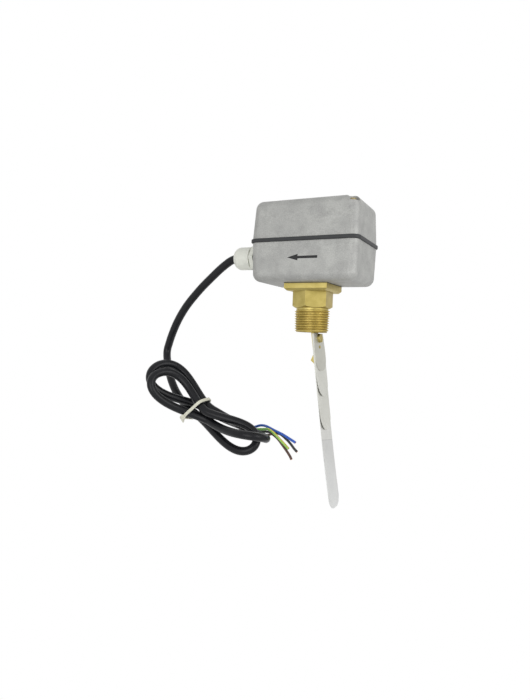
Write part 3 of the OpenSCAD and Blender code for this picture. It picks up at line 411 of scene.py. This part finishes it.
# The taper thread at its gauge plane: its diameter grows by 1 in 16, so its radius by half of that
THREAD_D = 33.25
THREAD_PITCH = 2.309
THREAD_DEPTH = 1.479
THREAD_CRESTS = 9
THREAD_HALF = THREAD_CRESTS * THREAD_PITCH / 2
THREAD_TAPER = 1 / 32


def brass(name="brass", threaded=False):
    """Brass off the lathe: fine lines round the pipe's axis and a cloudy tarnish, with painted shade on the
    faces turned upstream and, on a thread, a painted highlight on the crests and painted shade in the
    grooves."""
    f = Finish(name, metallic=0.8)
    tarnish = f.ramp(f.noise(8, 4), (0.33, (0.44, 0.355, 0.105)), (0.66, (0.53, 0.435, 0.145)))
    lines = f.noise(0.3, 2, stretch=(0.06, 0.06, 1))
    colour = f.mix(1.0, tarnish, f.ramp(lines, (0.3, 0.94), (0.7, 1.04)), "MULTIPLY")
    # Painted shade: faces turned upstream (+X) are darkened by their normal.
    painted_shade_side = f.facing(f.node("TexCoord", {}, output="Normal"), (1, 0, 0))
    colour = f.mix(1.0, colour, f.ramp(painted_shade_side, (0.3, 1.0), (0.9, (0.86, 0.83, 0.7))), "MULTIPLY")
    if threaded:
        # Painted light on a thread: the crests are painted brighter as a highlight and the grooves darker as
        # shade.
        across = f.node("Mapping", {}, Vector=f.place(), Scale=(1, 1, 0))
        radius = f.node("VectorMath", {"operation": "LENGTH"}, across, output="Value") * (1 / MM)
        depth = THREAD_D / 2 + f.along((0, 0, 1)) * THREAD_TAPER - radius
        crest_highlight_groove_shade = f.ramp(depth * (1 / THREAD_DEPTH), (0.1, (1.32, 1.3, 1.26)), (0.85, (0.86, 0.8, 0.7)))
        colour = f.mix(1.0, colour, crest_highlight_groove_shade, "MULTIPLY")
    f.set(base_color=colour, roughness=0.32 + 0.16 * f.noise(3, 3), normal=f.bump(lines, 0.006))
    return f


LEAF_TILT = math.radians(8.4)
LEAF_DOWN = Vector((math.sin(LEAF_TILT), 0, -math.cos(LEAF_TILT)))
LEAF_OUT = Vector((math.cos(LEAF_TILT), 0, math.sin(LEAF_TILT)))
PIVOT = Vector((0, 0, 24))
# The line scribed on the long leaf: its place below the pivot, its width and its slant
MARK_DROP = 138
MARK_WIDTH = 0.4
MARK_SLANT = Vector((0, -0.12, 0))
LEAF_END = 202


def paddle_steel(name, low, high, marked=False):
    """Rolled stainless sheet between two tones: grain along the leaf, scratches across it, soft smears.

    The marked leaf has a scribed line; just below it the leaf is a little darker, and towards its tip it gets
    a painted sheen that brightens it."""
    f = Finish(name, metallic=0.6)
    grain = f.noise(0.5, 3, stretch=(1, 1, 0.04))
    scratch = f.ramp(f.noise(0.7, 2, stretch=(0.05, 0.3, 1)), (0.66, 1.0), (0.72, 0.9))
    colour = f.ramp(f.noise(22, 3), (0.3, low), (0.7, high))
    colour = f.mix(1.0, colour, f.ramp(grain, (0.3, 0.94), (0.7, 1.03)), "MULTIPLY")
    colour = f.mix(1.0, colour, scratch, "MULTIPLY")
    if marked:
        past = f.along(LEAF_DOWN + MARK_SLANT) - (PIVOT.dot(LEAF_DOWN) + MARK_DROP)
        share = past * (1 / (LEAF_END - MARK_DROP))
        # Below the scribed line: a little darker at first, then a painted sheen that brightens the leaf
        # towards its tip.
        painted_tip_sheen = f.ramp(share, (0, (0.94, 0.945, 0.97)), (1, (1.12, 1.13, 1.17)))
        colour = f.mix(past.above(0), colour, f.mix(1.0, colour, painted_tip_sheen, "MULTIPLY"))
        colour = f.mix(abs(past).below(MARK_WIDTH / 2), colour, (0.45, 0.45, 0.44))
    f.set(base_color=colour, roughness=0.34 + 0.16 * f.noise(5, 3), normal=f.bump(grain, 0.008))
    return f


def nylon(name, colour, depth=0.03):
    """Moulded nylon: slightly cloudy, with a fine matt grain."""
    f = Finish(name)
    f.set(base_color=f.speckle(colour, 5, 0.05), roughness=0.42 + 0.14 * f.noise(1.6, 3))
    f.set(normal=f.bump(f.noise(0.45, 3), depth, f.bump(f.noise(6, 2), 0.1)))
    return f


def plain(name, colour, roughness, metallic=0.0, grain=1.5, depth=0.02, spread=0.09):
    """A finish of one colour, uneven by the given share, with a fine grain."""
    f = Finish(name, metallic=metallic)
    f.set(base_color=f.speckle(colour, grain * 4, spread), roughness=roughness + 0.12 * f.noise(grain, 2))
    f.set(normal=f.bump(f.noise(grain / 2, 3), depth))
    return f


STRIPE_WAY = Vector((0.55, -0.25, 0.8)).normalized()
STRIPE_EDGE = 0.72


def striped_core():
    """Earth core: green with a yellow stripe on two sides, which face one way all along it."""
    f = Finish("core_green_yellow")
    side = f.facing(f.node("NewGeometry", {}, output="Normal"), STRIPE_WAY)
    stripe = abs(side).above(STRIPE_EDGE)
    f.set(base_color=f.mix(stripe, f.speckle((0.29, 0.62, 0.13), 3, 0.1), (0.78, 0.66, 0.09)),
          roughness=0.34 + 0.1 * f.noise(2, 2), normal=f.bump(f.noise(0.8, 2), 0.015))
    return f


FINISHES = {
    "cast_aluminium": cast_aluminium(),
    "cable_sheath": cable_rubber(),
    "black_rubber": plain("black_rubber", (0.021, 0.0225, 0.024), 0.5, grain=1.2, depth=0.04),
    "zinc_steel": plain("zinc_steel", (0.42, 0.43, 0.45), 0.4, 0.85),
    "black_paint": plain("black_paint", (0.014, 0.014, 0.015), 0.65),
    "brass": brass(),
    "stainless": paddle_steel("stainless", (0.59, 0.59, 0.54), (0.65, 0.65, 0.60)),
    "bronze": plain("bronze", (0.56, 0.40, 0.18), 0.34, 0.9),
    "spring_steel": plain("spring_steel", (0.34, 0.34, 0.36), 0.3, 1.0),
    "black_plastic": plain("black_plastic", (0.03, 0.03, 0.032), 0.45, depth=0.03),
    "tinned_brass": plain("tinned_brass", (0.6, 0.58, 0.5), 0.32, 1.0),
    "red_plastic": plain("red_plastic", (0.5, 0.05, 0.04), 0.4),
    "grey_nylon": nylon("grey_nylon", (0.78, 0.79, 0.715)),
    "core_blue": plain("core_blue", (0.03, 0.11, 0.52), 0.32),
    "core_black": plain("core_black", (0.02, 0.021, 0.022), 0.35),
    "core_brown": plain("core_brown", (0.09, 0.042, 0.028), 0.35),
    "core_green_yellow": striped_core(),
    "white_plastic": nylon("white_plastic", (0.66, 0.66, 0.62)),
    "wire_red": plain("wire_red", (0.42, 0.03, 0.02), 0.36),
    "natural_nylon": nylon("natural_nylon", (0.69, 0.68, 0.56), 0.02)}
copper = plain("copper", (0.75, 0.33, 0.16), 0.3, 1.0, spread=0.2)
yellow_zinc = plain("yellow_zinc", (0.34, 0.28, 0.15), 0.45, 0.5, spread=0.25)
marked_steel = paddle_steel("stainless_marked", (0.61, 0.61, 0.58), (0.67, 0.67, 0.64), marked=True)
# Painted shade: a darker copy of the stainless finish, for the short leaf up by the pivot.
shaded_steel = paddle_steel("stainless_painted_shade", (0.48, 0.475, 0.42), (0.53, 0.525, 0.465))
threaded_brass = brass("brass_threaded", threaded=True)

# Shapes: machined and cast pieces start from a merged copy of their CAD node and get worn edges
WELD = 1e-6
FLAT_ANGLE = math.radians(0.5)
SHARP_ANGLE = math.radians(32)


def from_cad(node):
    """A copy of a CAD node with its loose triangles merged and its flat faces joined."""
    shape = bmesh.new()
    shape.from_mesh(frame["nodes"][node].data)
    bmesh.ops.remove_doubles(shape, verts=shape.verts, dist=WELD)
    bmesh.ops.dissolve_limit(shape, angle_limit=FLAT_ANGLE, verts=shape.verts, edges=shape.edges)
    return shape


def add_piece(name, shape, stands_for, edge=0.0, steps=2, flat_walls=False, finish=None, bend=None):
    """Makes a piece of the shape, which is finished as the CAD nodes that it stands for.

    It rides on their body; with a bend it is fixed in place instead, and the bend's bodies and points are not
    used."""
    data = bpy.data.meshes.new(name)
    shape.to_mesh(data)
    shape.free()
    data.shade_smooth()
    data.set_sharp_from_angle(angle=SHARP_ANGLE)
    piece = link(name, data)
    if edge:
        worn = piece.modifiers.new("worn_edges", "BEVEL")
        worn.width = edge * MM
        worn.segments = steps
        worn.limit_method = "ANGLE"
        worn.angle_limit = SHARP_ANGLE
        worn.use_clamp_overlap = True
        worn.harden_normals = not flat_walls
    if flat_walls:
        even = piece.modifiers.new("even_walls", "WEIGHTED_NORMAL")
        even.keep_sharp = True
    if bend:
        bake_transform(piece)
    else:
        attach(piece, BODY_OF[stands_for[0]])
    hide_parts(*stands_for)
    dress(piece, finish or FINISHES[SLOT_OF[stands_for[0]]])
    return piece


# Width in millimetres of the worn edge on each piece that keeps its CAD shape
WORN_EDGES = {
    "cover_gasket": 0.9, "cover_screws": 0.25, "flange_seal": 0.1, "flange_screws": 0.2,
    "pivot_ring": 0.25, "pivot_pin": 0.3, "bellows_collar": 0.2, "lever_arm": 0.3,
    "leaf_screw": 0.25, "leaf_rivet": 0.15, "lever_yoke": 0.2, "lever_nut": 0.2, "bracket": 0.25,
    "range_screw": 0.2, "screw_collar": 0.2, "spring_nut": 0.25, "micro_body": 0.4, "micro_terminals": 0.12,
    "micro_screws": 0.15, "micro_nuts": 0.2, "micro_button": 0.3, "micro_blade": 0.08, "gland_body": 0.5,
    "gland_washer": 0.2, "gland_locknut": 0.4, "gland_seal": 0.3, "gland_nut": 0.5, "inner_cable": 0,
    "wire_blue": 0, "wire_black": 0, "wire_brown": 0, "wire_green_yellow": 0, "terminal_block": 0.5,
    "terminal_screws": 0.12, "switch_wires": 0, "earth_screw": 0.2, "earth_tag": 0.12}
CASTING_EDGE = 0.5
FITTING_EDGE = 0.3
LEAF_EDGE = 0.1
TIE_EDGE = 0.3


def worn_pieces():
    own_finish = {"cover_screws": yellow_zinc}
    for node, edge in WORN_EDGES.items():
        add_piece(node + "_worn", from_cad(node), [node], edge, finish=own_finish.get(node))
    for node in ("lower_housing", "upper_cover"):
        add_piece(node + "_casting", from_cad(node), [node], CASTING_EDGE, 3, flat_walls=True)


def boolean(shape, tool, operation):
    """The shape inside the tool, or with the tool cut away. Both are used up."""
    pair = []
    for source in (shape, tool):
        data = bpy.data.meshes.new("work")
        source.to_mesh(data)
        source.free()
        pair.append(link("work", data))
    cut = pair[0].modifiers.new("cut", "BOOLEAN")
    cut.operation = operation
    cut.solver = "EXACT"
    cut.object = pair[1]
    result = bmesh.new()
    result.from_mesh(pair[0].evaluated_get(bpy.context.evaluated_depsgraph_get()).to_mesh())
    for work in pair:
        bpy.data.objects.remove(work)
    return result


THREAD_STEPS = 64
THREAD_TURNS = 12
LEAD_IN = 1.1
BLANK_MARGIN = 1
BORE_D = 25
NECK_OVERLAP = 0.2


def turned(profile, steps=96):
    """A closed solid of revolution about Z from (radius, height) points that run up its outside."""
    shape = bmesh.new()
    points = [shape.verts.new((radius * MM, 0, height * MM)) for radius, height in profile]
    for a, b in zip(points, points[1:]):
        shape.edges.new((a, b))
    bmesh.ops.spin(shape, geom=shape.verts[:] + shape.edges[:], cent=(0, 0, 0), axis=(0, 0, 1),
                   angle=math.tau, steps=steps, use_merge=True)
    bmesh.ops.remove_doubles(shape, verts=shape.verts, dist=WELD)
    bmesh.ops.recalc_face_normals(shape, faces=shape.faces)
    return shape


def thread():
    """The tapered pipe thread: one crest's outline is wound up a helix, trimmed and bored."""
    flat = THREAD_PITCH / 6
    root = THREAD_D / 2 - THREAD_DEPTH
    outline = [(root, 0), (THREAD_D / 2, THREAD_PITCH / 2 - flat), (THREAD_D / 2, THREAD_PITCH / 2),
               (root, THREAD_PITCH - flat), (root, THREAD_PITCH)]
    start = -THREAD_TURNS / 2 * THREAD_PITCH
    shape = bmesh.new()
    points = [shape.verts.new(mm(radius, 0, start + height)) for radius, height in outline]
    for a, b in zip(points, points[1:]):
        shape.edges.new((a, b))
    bmesh.ops.spin(shape, geom=shape.verts[:] + shape.edges[:], cent=(0, 0, 0), axis=(0, 0, 1),
                   dvec=mm(0, 0, THREAD_PITCH / THREAD_STEPS), angle=math.tau * THREAD_TURNS,
                   steps=THREAD_STEPS * THREAD_TURNS, use_merge=False)
    bmesh.ops.remove_doubles(shape, verts=shape.verts, dist=10 * WELD)
    for v in shape.verts:
        radius = v.co.xy.length
        v.co.xy *= 1 + v.co.z * THREAD_TAPER / radius
    for height, way in ((-THREAD_HALF, -1), (THREAD_HALF + NECK_OVERLAP, 1)):
        bmesh.ops.bisect_plane(shape, geom=shape.verts[:] + shape.edges[:] + shape.faces[:], dist=WELD,
                               plane_co=mm(0, 0, height), plane_no=(0, 0, way), clear_outer=True)
    rims = [e for e in shape.edges if e.is_boundary]
    bmesh.ops.contextual_create(shape, geom=[e for e in rims if e.verts[0].co.z < 0])
    bmesh.ops.contextual_create(shape, geom=[e for e in rims if e.verts[0].co.z > 0])
    bmesh.ops.recalc_face_normals(shape, faces=shape.faces)
    blank_r = THREAD_D / 2 + BLANK_MARGIN
    slope = blank_r - root + LEAD_IN
    blank = turned([(0, -THREAD_HALF), (root - LEAD_IN / 2, -THREAD_HALF),
                    (root - LEAD_IN / 2 + slope, -THREAD_HALF + slope),
                    (blank_r + LEAD_IN, 2 * THREAD_HALF), (0, 2 * THREAD_HALF)])
    shape = boolean(shape, blank, "INTERSECT")
    bore = turned([(0, -2 * THREAD_HALF), (BORE_D / 2, -2 * THREAD_HALF), (BORE_D / 2, 2 * THREAD_HALF),
                   (0, 2 * THREAD_HALF)])
    return boolean(shape, bore, "DIFFERENCE")


def brass_fitting():
    """Neck, hexagon and flange: the CAD body above its thread, closed where the thread joins it."""
    shape = from_cad("brass_body")
    bmesh.ops.bisect_plane(shape, geom=shape.verts[:] + shape.edges[:] + shape.faces[:], dist=WELD,
                           plane_co=mm(0, 0, THREAD_HALF + NECK_OVERLAP), plane_no=(0, 0, -1),
                           clear_outer=True)
    rims = [e for e in shape.edges if e.is_boundary]
    bmesh.ops.bridge_loops(shape, edges=rims)
    bmesh.ops.recalc_face_normals(shape, faces=shape.faces)
    return shape


def brass_pieces():
    add_piece("brass_fitting", brass_fitting(), ["brass_body"], FITTING_EDGE)
    add_piece("brass_thread", thread(), ["brass_body"], finish=threaded_brass)


LEAF_W = 28
CUTS_DOWN = 12
CUTS_ACROSS = 8
BEND_SHARE = 0.75
CURL_POWER = 1.6
# Each leaf's end below the pivot, how far its near corner lifts over what length, and its outward bend
LEAVES = {
    "leaf_short": (72, 0, 1, 0), "leaf_medium": (96, 1.7, 30, 0), "leaf_large": (128, 1.9, 32, 0),
    "leaf_long": (LEAF_END, 0, 1, 1.5)}


def leaf(node):
    """A sheet leaf: its near lower corner springs away from the leaf behind it, or its end bends out."""
    shape = from_cad(node)
    end, curl, reach, bend = LEAVES[node]
    bent_from = end * (1 - BEND_SHARE / 2)
    cut_reach = reach if curl else end - bent_from
    for i in range(CUTS_DOWN):
        down = PIVOT + LEAF_DOWN * (end - cut_reach * (i + 0.5) / CUTS_DOWN)
        bmesh.ops.bisect_plane(shape, geom=shape.verts[:] + shape.edges[:] + shape.faces[:],
                               dist=WELD, plane_co=down * MM, plane_no=LEAF_DOWN)
    for i in range(1, CUTS_ACROSS):
        bmesh.ops.bisect_plane(shape, geom=shape.verts[:] + shape.edges[:] + shape.faces[:],
                               dist=WELD, plane_co=mm(0, LEAF_W * (i / CUTS_ACROSS - 0.5), 0),
                               plane_no=(0, 1, 0))
    for v in shape.verts:
        down = (v.co / MM - PIVOT).dot(LEAF_DOWN)
        low = max(0, (down - end + reach) / reach)
        near = max(0, (LEAF_W / 4 - v.co.y / MM) / LEAF_W)
        past = max(0, (down - bent_from) / (end - bent_from))
        v.co += LEAF_OUT * ((curl * low ** CURL_POWER * near + bend * past ** 2) * MM)
    return shape


def leaves():
    # The short leaf takes the darker copy of the stainless: painted shade.
    finishes = {"leaf_long": marked_steel, "leaf_short": shaded_steel}
    for node in LEAVES:
        add_piece(node + "_sheet", leaf(node), [node], LEAF_EDGE, 1, finish=finishes.get(node))


def bellows():
    """The bellows, fixed in place; its foot and top are found and passed along but not used."""
    foot, top = (Vector((0, 0, corner.z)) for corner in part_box("bellows"))
    add_piece("bellows_sheet", from_cad("bellows"), ["bellows"], bend=("root", "paddle", foot, top))


SPRING_CURLS = 6
SPRING_WIRE = 1.1
SPRING_STEPS = 28
SPRING_SIDES = 12


def range_spring():
    """The range spring as a round wire in two lengths that meet at its middle.

    One length rides on the spring's body, and the other is fixed in place."""
    low, high = (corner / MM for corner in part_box("range_spring"))
    middle = (low + high) / 2
    radius = (high.z - low.z - SPRING_WIRE) / 2
    first, last = low.x + SPRING_WIRE / 2, high.x - SPRING_WIRE / 2
    count = SPRING_CURLS * SPRING_STEPS
    points = [Vector((first + (last - first) * i / count,
                      middle.y + radius * math.cos(math.tau * i / SPRING_STEPS),
                      middle.z + radius * math.sin(math.tau * i / SPRING_STEPS))) for i in range(count + 1)]
    nut_end = ("root", "spring_slider", middle * MM, high * MM)
    lengths = {"range_spring_yoke_end": (points[:count // 2 + 1], None),
               "range_spring_nut_end": (points[count // 2:], nut_end)}
    for name, (path, bend) in lengths.items():
        wire = tube("spring_wire", path, SPRING_WIRE, SPRING_SIDES)
        data = bpy.data.meshes.new_from_object(wire.evaluated_get(bpy.context.evaluated_depsgraph_get()))
        bpy.data.objects.remove(wire)
        shape = bmesh.new()
        shape.from_mesh(data)
        piece = add_piece(name, shape, ["range_spring"], bend=bend)
        if not bend:
            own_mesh(piece)


def cable_tie():
    """Nylon tie round the hank, with its head and tail."""
    return add_piece("cable_tie_band", from_cad("cable_tie"), ["cable_tie"], TIE_EDGE)


STRAND_R = 0.21
STRAND_PROUD = 0.25
STRAND_TIP_SHARE = 0.8
STRAND_SIDES = 10
STRANDS_ROUND = 6


def strand_ends():
    """The copper strands that show at each core's cut end: one in the middle and a ring round it."""
    ends = {}
    for colour, points in core_lines.items():
        tip = points[-1] * MM
        way = (points[-1] - points[-2]).normalized()
        turn = way.to_track_quat("Z", "Y").to_matrix().to_4x4()
        shape = bmesh.new()
        for k in range(STRANDS_ROUND + 1):
            off = 0 if k == 0 else 2 * STRAND_R
            angle = math.tau * k / STRANDS_ROUND
            at = mm(off * math.cos(angle), off * math.sin(angle), 0)
            bmesh.ops.create_cone(shape, cap_ends=True, segments=STRAND_SIDES, radius1=STRAND_R * MM,
                                  radius2=STRAND_R * STRAND_TIP_SHARE * MM, depth=2 * STRAND_PROUD * MM,
                                  matrix=Matrix.Translation(tip) @ turn @ Matrix.Translation(at))
        ends[colour] = add_piece("strands_" + colour, shape, ["core_" + colour], finish=copper)
    return ends


worn_pieces()
brass_pieces()
leaves()
bellows()
range_spring()
tie_piece = cable_tie()
strands = strand_ends()
dress(frame["nodes"]["flow_arrow"], FINISHES["black_paint"])
dress(cable_piece, FINISHES["cable_sheath"])
for core_colour, core_piece in cores.items():
    dress(core_piece, FINISHES["core_" + core_colour])
    metres_along(core_lines[core_colour])


def seen_directly(f):
    """1 for rays from the camera, a reflection or a clear body, which then see plain white."""
    camera = f.node("LightPath", {}, output="Is Camera Ray")
    glossy = f.node("LightPath", {}, output="Is Glossy Ray")
    through = f.node("LightPath", {}, output="Is Transmission Ray")
    return camera.largest(glossy).largest(through)


# In metres: how far the floor lies below the part, and half its width
FLOOR_DROP = 0.4
FLOOR_SIZE = 6
ROOM_LIGHT = 0.55


def backdrop():
    """Pale floor under the switch and a pale room."""
    shape = bmesh.new()
    bmesh.ops.create_grid(shape, x_segments=1, y_segments=1, size=FLOOR_SIZE)
    bmesh.ops.translate(shape, verts=shape.verts, vec=(0, 0, cad_box[0][2] - FLOOR_DROP))
    data = bpy.data.meshes.new("floor")
    shape.to_mesh(data)
    shape.free()
    floor = link("floor", data)
    f = Finish("floor_white", base_color=(0.9, 0.9, 0.9), roughness=0.9)
    matt = Value(f, f.shader.outputs[0])
    f.show(f.node("MixShader", {}, seen_directly(f), matt, f.node("Emission", {}, Color=(1, 1, 1))))
    dress(floor, f)
    room = bpy.data.worlds.new("room")
    bpy.context.scene.world = room
    w = Finish("room", room)
    soft = w.node("Background", {}, Color=(1, 1, 1), Strength=ROOM_LIGHT)
    w.show(w.node("MixShader", {}, seen_directly(w), soft, w.node("Background", {}, Color=(1, 1, 1))))


def soft_lamp(name, place, target, size, power):
    data = bpy.data.lights.new(name, "AREA")
    data.shape = "DISK"
    data.size = size
    data.energy = power
    lamp = link(name, data)
    lamp.location = place
    lamp.rotation_euler = (target - place).to_track_quat("-Z", "Y").to_euler()


# Each lamp's place and width in metres, and its power in watts
LAMPS = {"key": ((0.1, -1.25, 0.05), 1.0, 4.6), "side": ((1.2, -0.35, 0.25), 0.9, 5)}
LIT_POINT = mm(0, 0, 20)

backdrop()
for lamp_name, (lamp_place, lamp_size, lamp_power) in LAMPS.items():
    soft_lamp(lamp_name, Vector(lamp_place), LIT_POINT, lamp_size, lamp_power)

bpy.context.scene.view_settings.view_transform = "Standard"
